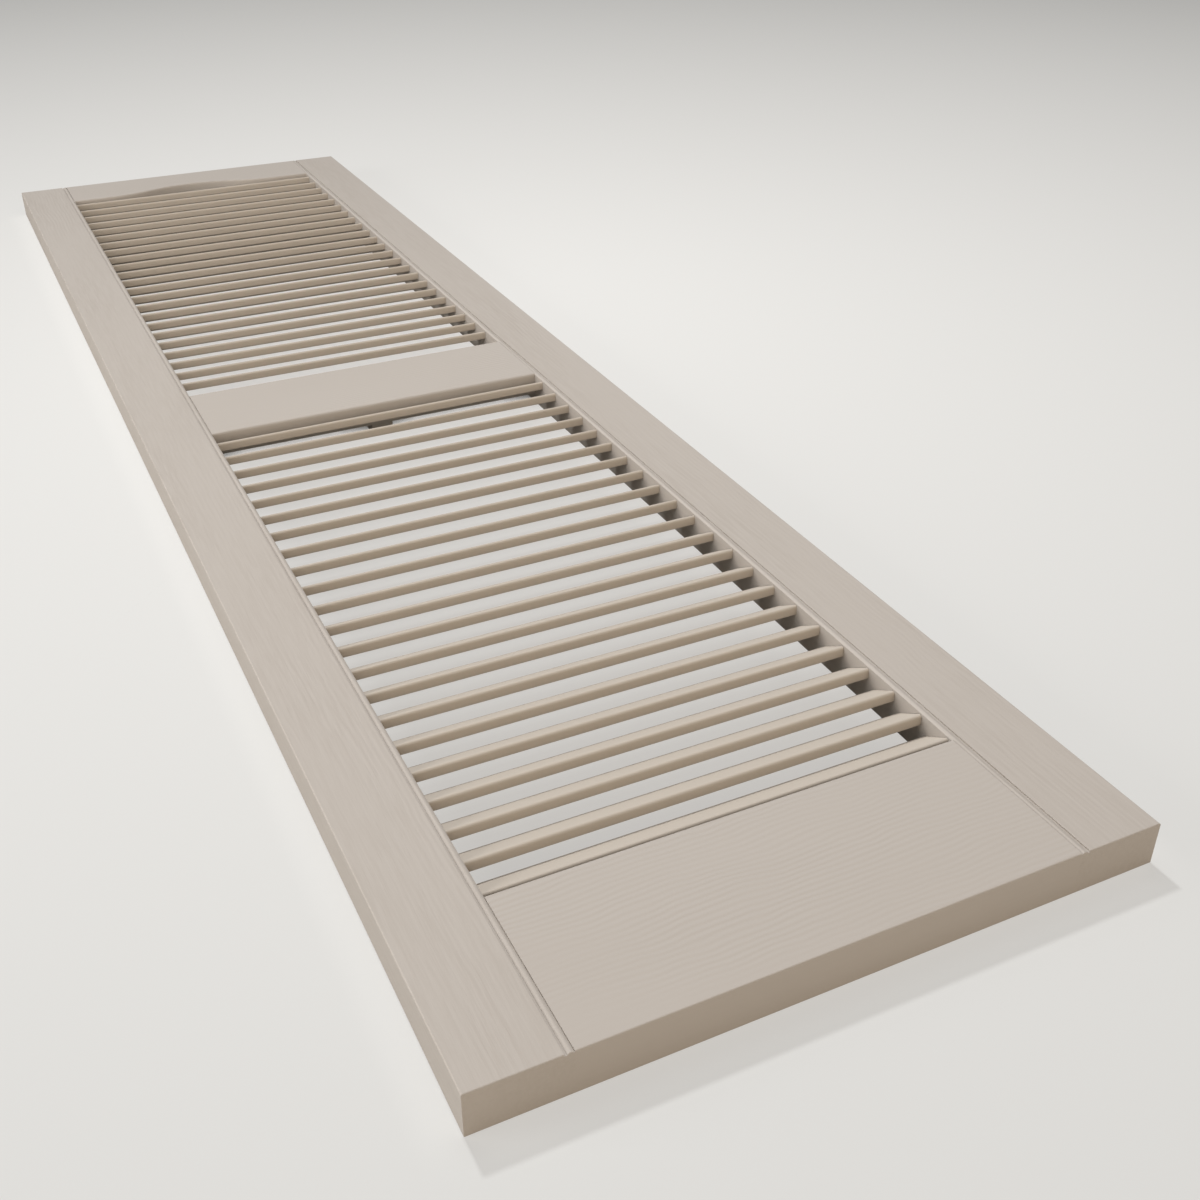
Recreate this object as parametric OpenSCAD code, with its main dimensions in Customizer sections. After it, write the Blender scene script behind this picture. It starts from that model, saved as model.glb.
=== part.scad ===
// Exterior louvred shutter, lying on its back: X across, Y along its length
// with the bottom end at -Y, +Z the face. The origin is at the middle of the back.

/* [Overall] */
// Width over both stiles
width = 368.3; // [300:0.1:460]
// Length from the bottom end to the top end
length = 1397; // [1160:0.5:1700]
// Thickness of the stiles, top rail and bottom rail
thickness = 25.4; // [21:0.1:32]

/* [Stiles] */
// Width of a stile with its bead
stile_w = 50; // [40:0.5:65]
// Width of the bead along the inner edge
bead_w = 3.7; // [3:0.1:5]
// Height of the bead's round, which is also the depth of the quirk beside it
bead_h = 0.8; // [0.4:0.1:1.2]
// Width of the quirk
quirk_w = 1.2; // [0.6:0.1:2.5]

/* [Rails] */
// Height of the bottom rail
rail_bottom_h = 99.2; // [70:0.1:130]
// Height of the mid rail
rail_mid_h = 79.5; // [60:0.1:110]
// Height of the top rail at its ends
rail_top_h = 63.3; // [52:0.1:90]
// Thickness of the mid rail, whose face is level with the stiles
rail_mid_t = 17.8; // [14:0.1:20]
// Rise of the arch in the top rail
arch_rise = 16.5; // [8:0.5:24]
// Width of the arch from foot to foot
arch_w = 194; // [120:1:200]
// Width of the packer behind the mid rail
packer_w = 17; // [12:0.5:30]

/* [Blades] */
// Number of blades in the lower bay
lower_blades = 22; // [4:1:24]
// Number of blades in the upper bay
upper_blades = 24; // [4:1:26]
// Open space between a blade and the next, seen from the face
blade_gap = 6.2; // [4:0.1:9]
// Space between a rail and the nose of the first blade above it
groove_w = 2.4; // [1.5:0.1:4]
// Distance from the bottom rail to the nose of the second blade
lower_second = 26.1; // [24:0.1:31]
// Distance from the mid rail to the nose of the second blade above it
upper_second = 30.6; // [24:0.1:31]
// How much closer than the rest the second and third blades of a bay stand
first_close = 1.1; // [0:0.1:1.5]
// Number of spaces over which a bay's blades draw out to the full pitch
close_spaces = 4; // [1:1:6]
// Space between the nose of the lower bay's last blade and the mid rail
lower_last_room = 15.8; // [12:0.1:19]
// Space between the nose of the upper bay's last blade and the top rail
upper_last_room = 11.3; // [10:0.1:19]
// Depth of a blade's nose below the face
blade_drop = 0.7; // [0.4:0.1:3]
// Height of a blade's front edge
blade_front_t = 7.4; // [5:0.1:9]
// Height of a blade's rear edge
blade_rear_t = 3.3; // [2.5:0.1:4.5]
// Height of a blade's rear edge above the back
blade_rear_z = 9.4; // [7:0.1:10]
// Depth that a blade's end is housed in the stile
blade_seat = 6; // [4:0.5:10]

/* [Dowels] */
// Diameter of the dowels in the rail joints
dowel_d = 10; // [8:0.5:12]
// Length of a dowel, half in the stile and half in the rail
dowel_l = 60; // [40:1:70]
// Distance between the two dowels of a joint, as a share of the rail's height
dowel_spread = 0.5; // [0.4:0.05:0.6]

/* [Edges] */
// Radius of the outer edges of the face
arris_r = 0.8; // [0.4:0.1:1.5]
// Radius of the rail edges above a louvred bay
sill_r = 1; // [0.5:0.1:2]
// Radius of the rail edges below which the last blades end
head_r = 2; // [1:0.1:3]
// Radius of a blade's nose
nose_r = 1.5; // [0.8:0.1:2]
// Radius of a blade's other edges
blade_edge_r = 0.8; // [0.4:0.1:1]

/* [Clearances] */
// Room around a blade's end in its housing
housing_clear = 0.15; // [0.05:0.05:0.3]
// Room beyond a blade's end, and between a last blade and its rail
end_clear = 0.3; // [0.2:0.1:0.6]
// Room around a dowel, on its diameter
dowel_clear = 0.2; // [0.1:0.05:0.4]
// Room beyond a dowel's end
dowel_end_clear = 1; // [0.5:0.5:2]

/* [Hidden] */
$fn = 48;
// Steps in a rounded edge, and in the corners of a blade's housing
arc_steps = 6;
housing_steps = 4;
// Steps in each foot of the arch, which is half of its crown
arch_steps = 10;
// What a cutter stands past the face that it cuts
past = 1;

inner_w = width - 2 * stile_w;
bottom_y = -length / 2;
top_y = length / 2;
louvred_l = length - rail_bottom_h - rail_mid_h - rail_top_h;
louvred_ends = lower_second + lower_last_room + upper_second + upper_last_room;
pitch = (louvred_l - louvred_ends + 2 * closing(close_spaces)) / (lower_blades + upper_blades - 4);
blade_run = pitch - blade_gap;
lower_bay_y = bottom_y + rail_bottom_h;
rail_mid_y = nose_y("lower", lower_blades) + lower_last_room;
upper_bay_y = rail_mid_y + rail_mid_h;
rail_top_y = top_y - rail_top_h;
rail_mid_z = thickness - rail_mid_t;
nose_z = thickness - blade_drop;
blade_l = inner_w + 2 * blade_seat;

paint = [0.76, 0.71, 0.65];
blade_paint = [0.74, 0.69, 0.62];
bare_wood = [0.8, 0.65, 0.45];

function blade_name(bay, i) = str("blade_", bay, i < 10 ? "_0" : "_", i);
function bay_blades(bay) = bay == "lower" ? lower_blades : upper_blades;
function bay_y(bay) = bay == "lower" ? lower_bay_y : upper_bay_y;
function second_y(bay) = bay == "lower" ? lower_second : upper_second;
function last_room(bay) = bay == "lower" ? lower_last_room : upper_last_room;

// What the first n spaces after a bay's second blade fall short of n pitches, all together
function closing(n) =
    let (spaces = min(n, close_spaces))
    first_close * spaces * (1 - (spaces - 1) / (2 * close_spaces));
function nose_y(bay, i) =
    bay_y(bay) + (i == 1 ? groove_w : second_y(bay) + (i - 2) * pitch - closing(i - 2));
function run_of(bay, i) = i == bay_blades(bay) ? min(last_room(bay) - end_clear, blade_run) : blade_run;

// The points of an anticlockwise convex outline, each edge moved out by d
function unit(v) = v / norm(v);
function outward(a, b) = let (e = unit(b - a)) [e[1], -e[0]];
function grown(pts, d) = [
    for (i = [0:len(pts) - 1])
        let (
            n1 = outward(pts[(i + len(pts) - 1) % len(pts)], pts[i]),
            n2 = outward(pts[i], pts[(i + 1) % len(pts)])
        )
        pts[i] + (n1 + n2) * d / (1 + n1 * n2)
];

// The same kind of outline with each corner rounded to its own radius
function corner(a, p, b, r, steps = arc_steps) =
    r == 0 ? [p] :
    let (
        to_a = unit(a - p),
        to_b = unit(b - p),
        half = acos(to_a * to_b) / 2,
        centre = p + unit(to_a + to_b) * r / sin(half),
        start = p + to_a * r / tan(half) - centre,
        from = atan2(start[1], start[0])
    )
    [for (k = [0:steps])
        let (t = from + (180 - 2 * half) * k / steps)
        centre + r * [cos(t), sin(t)]];
function rounded(pts, radii, steps = arc_steps) = [
    for (i = [0:len(pts) - 1])
        each corner(pts[(i + len(pts) - 1) % len(pts)], pts[i], pts[(i + 1) % len(pts)], radii[i], steps)
];

// Sections: a blade's from its front face at 0, a rail's or a whole side's from its lower end
function blade_corners(run) =
    let (
        top_fall = (nose_z - blade_rear_z - blade_rear_t) / blade_run,
        under_z = nose_z - blade_front_t,
        under_fall = (under_z - blade_rear_z) / blade_run
    )
    [[0, under_z], [run, under_z - under_fall * run], [run, nose_z - top_fall * run], [0, nose_z]];
function blade_outline(run, extra = 0, steps = arc_steps) =
    rounded(
        grown(blade_corners(run), extra),
        [for (r = [blade_edge_r, blade_edge_r, blade_edge_r, nose_r]) r + extra],
        steps
    );
function slab_outline(from, to, back, near_r, far_r) =
    rounded([[from, back], [to, back], [to, thickness], [from, thickness]], [0, 0, far_r, near_r]);

// Lays a section whose own x is Y, or X, and whose own y is Z, along X, or Y
module along_x(from, l) translate([from, 0, 0]) rotate([90, 0, 90]) linear_extrude(l) children();
module along_y(from, l) translate([0, from + l, 0]) rotate([90, 0, 0]) linear_extrude(l) children();

module blade_housings() {
    for (bay = ["lower", "upper"], i = [1:bay_blades(bay)])
        translate([0, nose_y(bay, i), 0])
            along_x(-blade_l / 2 - end_clear, blade_seat + end_clear + past)
                polygon(blade_outline(run_of(bay, i), housing_clear, housing_steps));
}

// A rail joint: the bottom, mid and top rails as [lower edge, height, middle of the thickness]
joint_bottom = [lower_bay_y - rail_bottom_h, rail_bottom_h, thickness / 2];
joint_mid = [rail_mid_y, rail_mid_h, (thickness + rail_mid_z) / 2];
joint_top = [rail_top_y, rail_top_h, thickness / 2];

module at_dowels(joint) {
    for (side = [-1, 1], step = [-0.5, 0.5])
        translate([side * inner_w / 2, joint[0] + joint[1] * (0.5 + step * dowel_spread), joint[2]])
            rotate([0, 90, 0])
                children();
}

module dowels(joint) color(bare_wood) at_dowels(joint) cylinder(h = dowel_l, d = dowel_d, center = true);

module dowel_bores(joint)
    at_dowels(joint) cylinder(h = dowel_l + 2 * dowel_end_clear, d = dowel_d + dowel_clear, center = true);

// The bead is a low round along the inner edge, and the quirk a square groove beside it
module stile_profile() {
    bead_r = (pow(bead_w / 2, 2) + pow(bead_h, 2)) / (2 * bead_h);
    half = asin(bead_w / 2 / bead_r);
    quirk_x = stile_w - bead_w - quirk_w;
    polygon([
        [0, 0], [stile_w, 0],
        for (k = [0:2 * arc_steps])
            let (t = 90 - half + half * k / arc_steps)
            [stile_w - bead_w / 2 + bead_r * cos(t), thickness - bead_r + bead_r * sin(t)],
        [quirk_x, thickness - bead_h], [quirk_x, thickness],
        each corner([quirk_x, thickness], [0, thickness], [0, 0], arris_r),
    ]);
}

module stile() {
    color(paint)
    difference() {
        intersection() {
            translate([-width / 2, 0, 0]) along_y(bottom_y, length) stile_profile();
            along_x(-width / 2 - past, stile_w + 2 * past)
                polygon(slab_outline(bottom_y, top_y, 0, arris_r, arris_r));
        }
        blade_housings();
        for (joint = [joint_bottom, joint_mid, joint_top])
            dowel_bores(joint);
    }
}

module stile_left() stile();
module stile_right() mirror([1, 0, 0]) stile();

module rail(from, to, back, near_r, far_r)
    along_x(-inner_w / 2, inner_w) polygon(slab_outline(from, to, back, near_r, far_r));

module rail_bottom() {
    color(paint)
    difference() {
        rail(bottom_y, lower_bay_y, 0, arris_r, sill_r);
        dowel_bores(joint_bottom);
    }
}

module rail_mid() {
    color(paint)
    difference() {
        rail(rail_mid_y, upper_bay_y, rail_mid_z, head_r, sill_r);
        dowel_bores(joint_mid);
    }
}

// The arch is an ogee: one round at the crown and one, of the same radius, at each foot
arch_r = (pow(arch_w / 4, 2) + pow(arch_rise / 2, 2)) / arch_rise;
arch_sweep = asin(arch_w / 4 / arch_r);
arch_end_x = inner_w / 2 + past;

// The top rail's lower edge from left to right, each point with the direction into the rail
function arc_points(centre, angles, way) = [
    for (t = angles)
        let (radial = [cos(t), sin(t)])
        [centre + arch_r * radial, way * radial]
];
function arch_edge() =
    let (
        step = arch_sweep / arch_steps,
        foot_angles = [for (k = [0:arch_steps]) -90 + k * step],
        crown_angles = [for (k = [1:2 * arch_steps - 1]) 90 + arch_sweep - k * step],
        foot_y = rail_top_y + arch_r
    )
    [
        [[-arch_end_x, rail_top_y], [0, 1]],
        each arc_points([-arch_w / 2, foot_y], foot_angles, -1),
        each arc_points([0, rail_top_y + arch_rise - arch_r], crown_angles, 1),
        each arc_points([arch_w / 2, foot_y], [for (t = foot_angles) t - arch_sweep], -1),
        [[arch_end_x, rail_top_y], [0, 1]],
    ];

// The rounded edge as [height, depth into the rail], its last step run on past the face
function head_levels() =
    let (
        round = [
            for (k = [0:arc_steps])
                let (t = 90 * k / arc_steps)
                [thickness - head_r + head_r * sin(t), head_r * (1 - cos(t))]
        ],
        last = round[arc_steps]
    )
    [[-past, 0], each round, 2 * last - round[arc_steps - 1]];

// What is cut away below the arch and along its rounded edge, as one outline at each level
module arch_waste() {
    edge = arch_edge();
    levels = head_levels();
    low_y = rail_top_y - 2 * past;
    n = len(edge) + 2;
    top = (len(levels) - 1) * n;
    polyhedron(
        points = [
            for (level = levels) each [
                for (e = edge) [each e[0] + e[1] * level[1], level[0]],
                [arch_end_x, low_y, level[0]],
                [-arch_end_x, low_y, level[0]],
            ]
        ],
        faces = [
            [for (i = [0:n - 1]) top + i],
            [for (i = [0:n - 1]) n - 1 - i],
            for (low = [0:n:top - n], i = [0:n - 1])
                let (j = (i + 1) % n, high = low + n)
                each [[low + i, low + j, high + j], [low + i, high + j, high + i]],
        ]
    );
}

module rail_top() {
    color(paint)
    difference() {
        rail(rail_top_y - past, top_y, 0, 0, arris_r);
        arch_waste();
        dowel_bores(joint_top);
    }
}

module blade(bay, i) {
    color(blade_paint)
    translate([0, nose_y(bay, i), 0])
        along_x(-blade_l / 2, blade_l) polygon(blade_outline(run_of(bay, i)));
}

module mid_rail_packer() {
    color(paint)
    translate([-packer_w / 2, rail_mid_y, 0]) cube([packer_w, rail_mid_h, rail_mid_z]);
}

stile_left();
stile_right();
rail_bottom();
rail_mid();
rail_top();
for (bay = ["lower", "upper"], i = [1:bay_blades(bay)])
    blade(bay, i);
mid_rail_packer();
dowels(joint_bottom);  // dowels_bottom_rail
dowels(joint_mid);  // dowels_mid_rail
dowels(joint_top);  // dowels_top_rail
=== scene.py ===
# Exterior louvred shutter lying on a pale studio floor, seen from its lower end.
import math
import bpy
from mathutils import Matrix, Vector


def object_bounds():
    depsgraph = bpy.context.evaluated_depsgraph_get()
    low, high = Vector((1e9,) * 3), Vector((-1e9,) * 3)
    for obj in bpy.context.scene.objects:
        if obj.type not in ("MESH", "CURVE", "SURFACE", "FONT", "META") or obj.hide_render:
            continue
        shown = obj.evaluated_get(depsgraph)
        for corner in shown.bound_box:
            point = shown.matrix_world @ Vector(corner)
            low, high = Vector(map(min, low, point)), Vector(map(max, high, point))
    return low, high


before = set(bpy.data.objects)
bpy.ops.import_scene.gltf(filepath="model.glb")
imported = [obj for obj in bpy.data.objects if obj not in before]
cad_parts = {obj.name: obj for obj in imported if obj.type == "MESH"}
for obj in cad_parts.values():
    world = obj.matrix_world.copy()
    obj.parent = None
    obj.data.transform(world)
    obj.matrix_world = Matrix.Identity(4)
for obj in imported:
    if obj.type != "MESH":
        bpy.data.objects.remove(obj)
cad_lo, cad_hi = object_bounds()

MM = 0.001


def srgb(red, green, blue):
    """A colour given in 0-255 screen values, as the linear one that a shader takes."""
    def linear(value):
        value /= 255
        return value / 12.92 if value <= 0.04045 else ((value + 0.055) / 1.055) ** 2.4
    return (linear(red), linear(green), linear(blue), 1)


PAINT = srgb(175, 168, 161)
PAINT_SHADE = srgb(158, 149, 140)
# Lighter copies of the paint and of its grain tone, for the blades: painted light that brightens
# the blades beyond what the lamps give them.
LIT_BLADE_PAINT = srgb(182, 173, 162)
LIT_BLADE_SHADE = srgb(166, 156, 143)
WOOD = srgb(196, 160, 116)
WOOD_DARK = srgb(164, 124, 82)

# Grain: noise frequencies in cycles per metre, along the grain and across it
SWAY_NOISE = (20, 26)
RING_PATCHES = (4, 14)
FIBRE_PATCHES = (5, 30)
FIBRE_NOISE = (34, 560)
PORE_NOISE = (60, 900)
TONE_PATCHES = (2, 7)
SKIN_NOISE = 1400
DOWEL_GRAIN = (40, 1200, 1200)
# Grain: the part of each noise that shows, from its first sign to its full strength
RING_SHOWS = (0.4, 0.62)
FIBRE_SHOWS = (0.35, 0.65)
PORE_SHOWS = (0.6, 0.75)
# Grain: how much each kind of mark weighs in the relief and in the colour
FIBRE_RELIEF, PORE_RELIEF, SKIN_RELIEF = 0.8, 0.3, 0.06
FIBRE_TONE, PORE_TONE, PATCH_TONE = 0.6, 0.2, 0.4
RELIEF_DEPTH = 0.1 * MM
RING_SCALE = 90  # one ring in 3.5 mm
RING_SWAY = 16
NOISE_ROUGHNESS = 0.55
PAINT_ROUGHNESS = 0.72
PAINT_SPECULAR = 0.25
WOOD_ROUGHNESS = 0.6

# Floor. Its glow is painted light: a painted pool of light that loses PAINTED_POOL_FALL with
# each metre from its centre, down to PAINTED_POOL_LEAST, painted shade where pieces close over
# it, and a little painted light where they half cover it.
FLOOR_HALF = 30
FLOOR_DROP = 0.2 * MM
COVER_REACH = 24 * MM
COVER_SAMPLES = 24
# Painted shade: the glow goes out as the floor's openness falls below these levels;
# PAINTED_GAP_LIGHT is painted light where pieces half cover it.
PAINTED_SHADE_FADE = (0.04, 0.14)
PAINTED_GAP_LIGHT = 0.16
PAINTED_POOL_CENTRE = (350 * MM, 900 * MM)
PAINTED_POOL_GLOW = 0.545
PAINTED_POOL_FALL = 0.15
PAINTED_POOL_LEAST = 0.2
# Colour of the floor's painted glow
PAINTED_FLOOR_GLOW = (1, 0.974, 0.938, 1)
FLOOR_SHOWN = (0.275, 0.28, 0.278, 1)
FLOOR_BOUNCE = (0.45, 0.44, 0.42, 1)
BOUNCE_GLOW = (1, 0.96, 0.9, 1)
BOUNCE_STRENGTH = 0.07

# Lights. A side of the studio has a direction, a strength and a colour.
LOBE_POWER = 2
STUDIO_STRENGTH = 0.18
STUDIO_SIDES = (
    ((0, -1, 0.1), 0.75, (1, 0.82, 0.6, 1)),
    ((0, 0, 1), 0.15, (0.95, 0.98, 1, 1)),
)
BACKDROP = (0.43, 0.427, 0.405, 1)
KEY_STRENGTH = 1.82
KEY_SOFTNESS = 4.5
KEY_HEIGHT = 50.4
# Name, size, watts, colour, place and aim, in metres from the shutter's lower left back corner
SOFT_BOXES = (
    ("soft_box_left", (1.4, 1.1), 38, (1, 0.99, 0.97), (-2.1, 0.7, 0.6), (0, 0.7, 0)),
    ("soft_box_front", (1.2, 0.8), 6, (1, 0.86, 0.7), (-0.1, -1.5, 0.4), (0.15, 0, 0)),
    ("soft_box_above", (0.8, 0.8), 5.4, (1, 0.99, 0.98), (0.3, 0.6, 1.3), (0.2, 0.5, 0)),
)

# Camera
LENS = 42.09
SENSOR = 36
CAMERA_PLACE = (-110.9, -352.8, 484.5)  # millimetres from the same corner
CAMERA_DOWN = 32
CAMERA_TURN = -26


class Nodes:
    """Adds shader nodes to a new material, or to the tree it is given, and joins them."""

    def __init__(self, name=None, tree=None, output="OutputMaterial"):
        if tree is None:
            self.material = bpy.data.materials.new(name)
            self.material.use_nodes = True
            tree = self.material.node_tree
        self.tree = tree
        self.tree.nodes.clear()
        self.output = self.add(output)

    def add(self, kind, links=None, **values):
        node = self.tree.nodes.new("ShaderNode" + kind)
        for key, value in values.items():
            if key in node.inputs:
                node.inputs[key].default_value = value
            else:
                setattr(node, key, value)
        for key, socket in (links or {}).items():
            self.tree.links.new(socket, node.inputs[key])
        return node

    def math(self, operation, first, second, clamp=False):
        node = self.add("Math", operation=operation, use_clamp=clamp)
        for index, value in enumerate((first, second)):
            if isinstance(value, (int, float)):
                node.inputs[index].default_value = value
            else:
                self.tree.links.new(value, node.inputs[index])
        return node.outputs[0]

    def times(self, first, second):
        return self.math("MULTIPLY", first, second)

    def fade(self, value, limits, start=0.0):
        """Rises from start to 1 as the value goes from the first limit to the second."""
        low, high = limits
        levels = {"From Min": low, "From Max": high, "To Min": start, "To Max": 1.0}
        return self.add("MapRange", {"Value": value}, **levels).outputs["Result"]

    def vector_math(self, operation, first, second):
        node = self.add("VectorMath", {0: first}, operation=operation)
        node.inputs[1].default_value = second
        return node.outputs["Value"]

    def mix(self, factor, first, second):
        node = self.add("Mix", data_type="RGBA", blend_type="MIX")
        self.tree.links.new(factor, node.inputs["Factor"])
        node.inputs[6].default_value = first
        node.inputs[7].default_value = second
        return node.outputs[2]

    def add_shaders(self, first, second):
        return self.add("AddShader", {0: first.outputs[0], 1: second.outputs[0]})

    def show(self, shader):
        self.tree.links.new(shader.outputs[0], self.output.inputs[0])

    def show_to_camera(self, lighting, shown):
        """Lights the object with one shader and shows the other to the camera."""
        seen = self.add("LightPath").outputs["Is Camera Ray"]
        self.show(self.add("MixShader", {0: seen, 1: lighting.outputs[0], 2: shown.outputs[0]}))


def grained_paint(name, along, rings, fibres, seed, paint=PAINT, shade=PAINT_SHADE):
    """Matt paint over wood, with low swaying rings and fine fibres and pores between them."""
    nodes = Nodes(name)
    across = "XYZ".replace(along, "")
    offset = (seed, seed * 0.7, seed * 1.3)
    place = nodes.add("TexCoord").outputs["Object"]

    def stretched(long, short):
        scale = tuple(long if axis == along else short for axis in "XYZ")
        mapping = nodes.add("Mapping", {"Vector": place}, Scale=scale, Location=offset)
        return {"Vector": mapping.outputs["Vector"]}

    def noise(frequency, detail=2.0):
        texture = nodes.add("TexNoise", stretched(*frequency),
                            Scale=1, Detail=detail, Roughness=NOISE_ROUGHNESS)
        return texture.outputs["Fac"]

    wave = stretched(0, RING_SCALE)
    wave["Phase Offset"] = nodes.times(noise(SWAY_NOISE), RING_SWAY)
    ring = nodes.add("TexWave", wave, wave_type="BANDS", bands_direction=across[0],
                     Scale=1, Distortion=0).outputs["Fac"]
    ring_patch = nodes.fade(noise(RING_PATCHES), RING_SHOWS, start=0.15)
    ring = nodes.times(nodes.times(ring, ring_patch), rings)
    fibre_patch = nodes.fade(noise(FIBRE_PATCHES), FIBRE_SHOWS, start=0.3)
    fibre = nodes.fade(noise(FIBRE_NOISE, detail=3.0), FIBRE_SHOWS)
    fibre = nodes.times(nodes.times(fibre, fibre_patch), fibres)
    pore = nodes.times(nodes.fade(noise(PORE_NOISE), PORE_SHOWS), fibres)
    skin = nodes.add("TexNoise", {"Vector": place}, Scale=SKIN_NOISE, Detail=1).outputs["Fac"]

    relief = nodes.math("ADD", ring, nodes.times(fibre, FIBRE_RELIEF))
    relief = nodes.math("SUBTRACT", relief, nodes.times(pore, PORE_RELIEF))
    relief = nodes.math("ADD", relief, nodes.times(skin, SKIN_RELIEF))
    bump = nodes.add("Bump", {"Height": relief}, Strength=1, Distance=RELIEF_DEPTH)

    tone = nodes.math("ADD", nodes.times(fibre, FIBRE_TONE), nodes.times(pore, PORE_TONE))
    drift = nodes.times(nodes.math("SUBTRACT", 0.5, noise(TONE_PATCHES)), PATCH_TONE)
    tone = nodes.math("ADD", tone, drift, clamp=True)
    nodes.show(nodes.add(
        "BsdfPrincipled",
        {"Base Color": nodes.mix(tone, paint, shade), "Normal": bump.outputs["Normal"]},
        Roughness=PAINT_ROUGHNESS, **{"Specular IOR Level": PAINT_SPECULAR}))
    return nodes.material


def bare_wood(name):
    """Unpainted hardwood dowel: fine lengthwise grain."""
    nodes = Nodes(name)
    place = nodes.add("Mapping", {"Vector": nodes.add("TexCoord").outputs["Object"]},
                      Scale=DOWEL_GRAIN)
    grain = nodes.add("TexNoise", {"Vector": place.outputs["Vector"]},
                      Scale=1, Detail=4, Roughness=0.6).outputs["Fac"]
    bump = nodes.add("Bump", {"Height": grain}, Strength=0.3, Distance=RELIEF_DEPTH)
    nodes.show(nodes.add(
        "BsdfPrincipled",
        {"Base Color": nodes.mix(grain, WOOD, WOOD_DARK), "Normal": bump.outputs["Normal"]},
        Roughness=WOOD_ROUGHNESS))
    return nodes.material


def dress():
    """Gives each CAD node its finish, with the grain along the piece."""
    finishes = {
        "stile": grained_paint("stile_paint", "Y", rings=0.45, fibres=0.55, seed=0.3),
        "rail": grained_paint("rail_paint", "X", rings=1.4, fibres=0.1, seed=1.7),
        # The blades take the lighter copies of the paint: painted light.
        "blade": grained_paint("blade_paint", "X", rings=0.2, fibres=0.15, seed=4.1,
                               paint=LIT_BLADE_PAINT, shade=LIT_BLADE_SHADE),
        "dowels": bare_wood("dowel_wood"),
    }
    for name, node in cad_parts.items():
        finish = finishes.get(name.split("_")[0], finishes["rail"])  # the packer is a rail's
        node.data.materials.clear()
        node.data.materials.append(finish)


def lay_floor():
    """A wide pale floor just under the back, with a painted pool of light round the shutter.

    Its glow goes out in painted shade where pieces close over it, and is a little brighter, with
    painted light, where they half cover it.
    """
    z = cad_lo.z - FLOOR_DROP
    corners = [(x * FLOOR_HALF, y * FLOOR_HALF, z)
               for x, y in ((-1, -1), (1, -1), (1, 1), (-1, 1))]
    mesh = bpy.data.meshes.new("floor")
    mesh.from_pydata(corners, [], [(0, 1, 2, 3)])
    floor = bpy.data.objects.new("floor", mesh)
    bpy.context.scene.collection.objects.link(floor)

    nodes = Nodes("floor_painted_light")
    openness = nodes.add("AmbientOcclusion", Distance=COVER_REACH,
                         samples=COVER_SAMPLES).outputs["AO"]
    # Painted shade: the glow goes out where pieces close over the floor.
    outside_painted_shade = nodes.fade(openness, PAINTED_SHADE_FADE)
    centre = (cad_lo.x + PAINTED_POOL_CENTRE[0], cad_lo.y + PAINTED_POOL_CENTRE[1], z)
    away = nodes.vector_math("DISTANCE", nodes.add("TexCoord").outputs["Object"], centre)
    # Painted pool of light round the shutter.
    pool = nodes.math("SUBTRACT", PAINTED_POOL_GLOW, nodes.times(away, PAINTED_POOL_FALL))
    pool = nodes.math("MAXIMUM", pool, PAINTED_POOL_LEAST)
    # Painted light where pieces half cover the floor.
    gap_light_painted = nodes.times(nodes.math("SUBTRACT", 1, openness), PAINTED_GAP_LIGHT)
    glow = nodes.times(outside_painted_shade, nodes.math("ADD", pool, gap_light_painted))
    shown = nodes.add_shaders(nodes.add("Emission", {"Strength": glow}, Color=PAINTED_FLOOR_GLOW),
                              nodes.add("BsdfDiffuse", Color=FLOOR_SHOWN))
    bounce = nodes.add_shaders(
        nodes.add("BsdfDiffuse", Color=FLOOR_BOUNCE),
        nodes.add("Emission", Color=BOUNCE_GLOW, Strength=BOUNCE_STRENGTH))
    nodes.show_to_camera(bounce, shown)
    mesh.materials.append(nodes.material)


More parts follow.
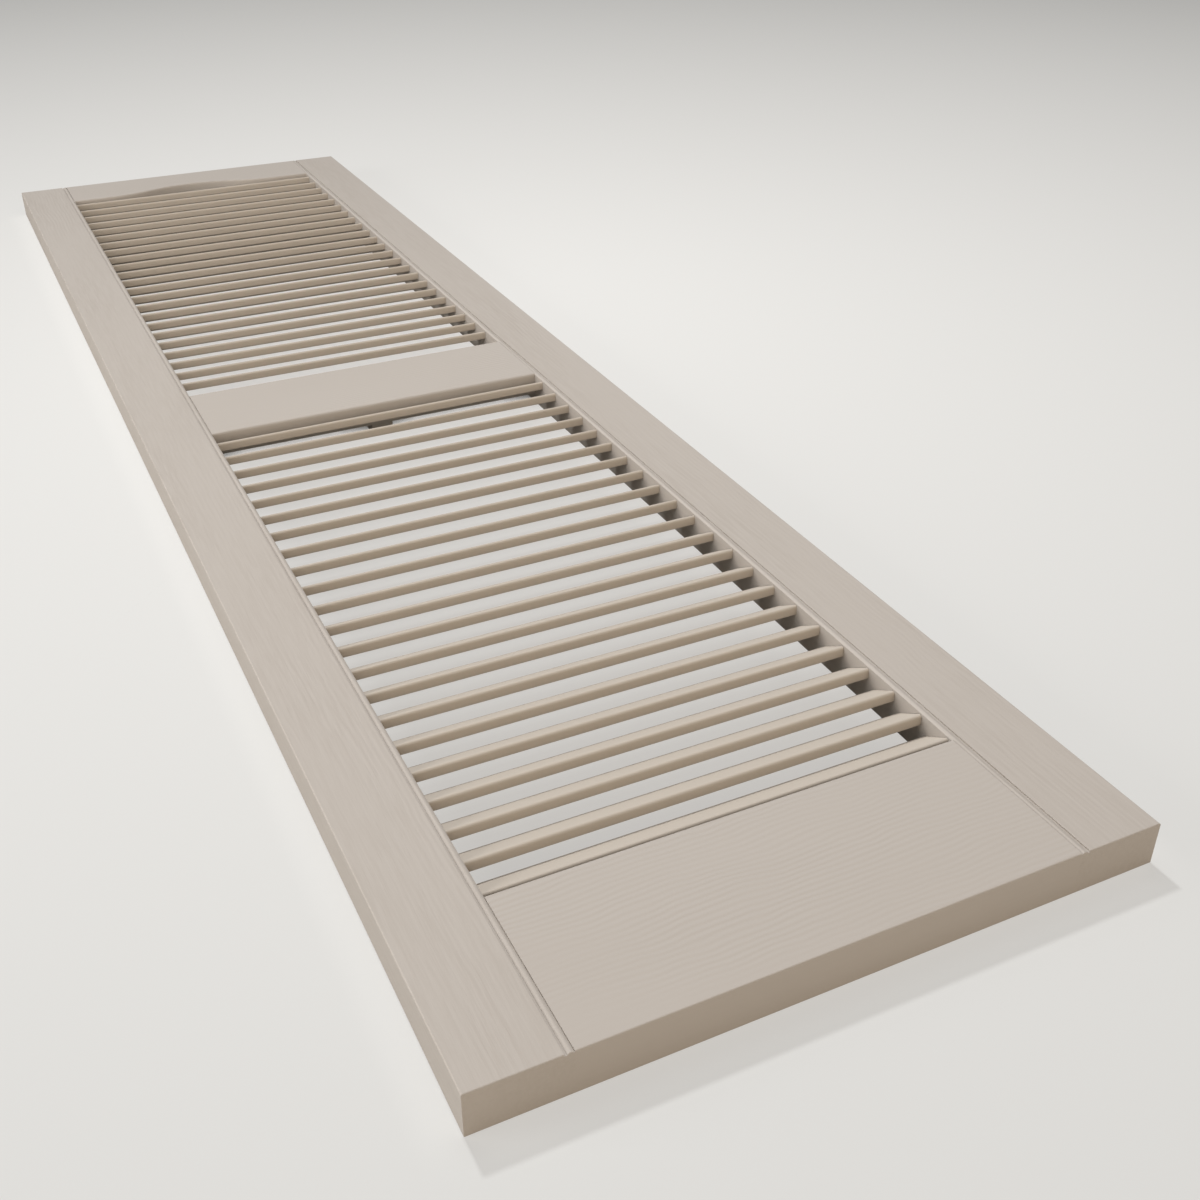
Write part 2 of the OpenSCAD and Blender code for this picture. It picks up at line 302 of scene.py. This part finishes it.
def lobe(nodes, direction, strength, colour):
    """Light that is strongest from one side of the studio and is gone a quarter turn from it."""
    place = nodes.add("TexCoord").outputs["Generated"]
    facing = nodes.vector_math("DOT_PRODUCT", place, Vector(direction).normalized())
    facing = nodes.math("MAXIMUM", facing, 0)
    power = nodes.times(nodes.math("POWER", facing, LOBE_POWER), strength)
    return nodes.add("Background", {"Strength": power}, Color=colour)


def light_studio():
    """Even light that is warmer and stronger in front, and seen by the camera as a backdrop."""
    world = bpy.data.worlds.new("studio")
    bpy.context.scene.world = world
    world.use_nodes = True
    nodes = Nodes(tree=world.node_tree, output="OutputWorld")
    studio = nodes.add("Background", Color=(1, 1, 1, 1), Strength=STUDIO_STRENGTH)
    for direction, strength, colour in STUDIO_SIDES:
        studio = nodes.add_shaders(studio, lobe(nodes, direction, strength, colour))
    nodes.show_to_camera(studio, nodes.add("Background", Color=BACKDROP))


def hang_key():
    """The key light shines from beyond the far end, down on the face."""
    key = bpy.data.lights.new("key", "SUN")
    key.energy = KEY_STRENGTH
    key.angle = math.radians(KEY_SOFTNESS)
    lamp = bpy.data.objects.new("key", key)
    lamp.rotation_euler = (math.radians(KEY_HEIGHT - 90), 0, 0)
    bpy.context.scene.collection.objects.link(lamp)


def hang_soft_box(name, size, watts, colour, place, aim):
    """A rectangular lamp at one point that faces another."""
    box = bpy.data.lights.new(name, "AREA")
    box.shape = "RECTANGLE"
    box.size, box.size_y = size
    box.energy = watts
    box.color = colour
    lamp = bpy.data.objects.new(name, box)
    lamp.location = cad_lo + Vector(place)
    lamp.rotation_euler = (Vector(aim) - Vector(place)).to_track_quat("-Z", "Y").to_euler()
    bpy.context.scene.collection.objects.link(lamp)


def aim_camera():
    """The camera stands left of the lower end and looks along the shutter and down."""
    camera = bpy.data.cameras.new("camera")
    camera.lens = LENS
    camera.sensor_width = SENSOR
    stand = bpy.data.objects.new("camera", camera)
    stand.location = [start + step * MM for start, step in zip(cad_lo, CAMERA_PLACE)]
    stand.rotation_euler = (math.radians(90 - CAMERA_DOWN), 0, math.radians(CAMERA_TURN))
    bpy.context.scene.collection.objects.link(stand)
    bpy.context.scene.camera = stand


aim_camera()
dress()
lay_floor()
light_studio()
hang_key()
for soft_box in SOFT_BOXES:
    hang_soft_box(*soft_box)
bpy.context.scene.view_settings.view_transform = "Standard"
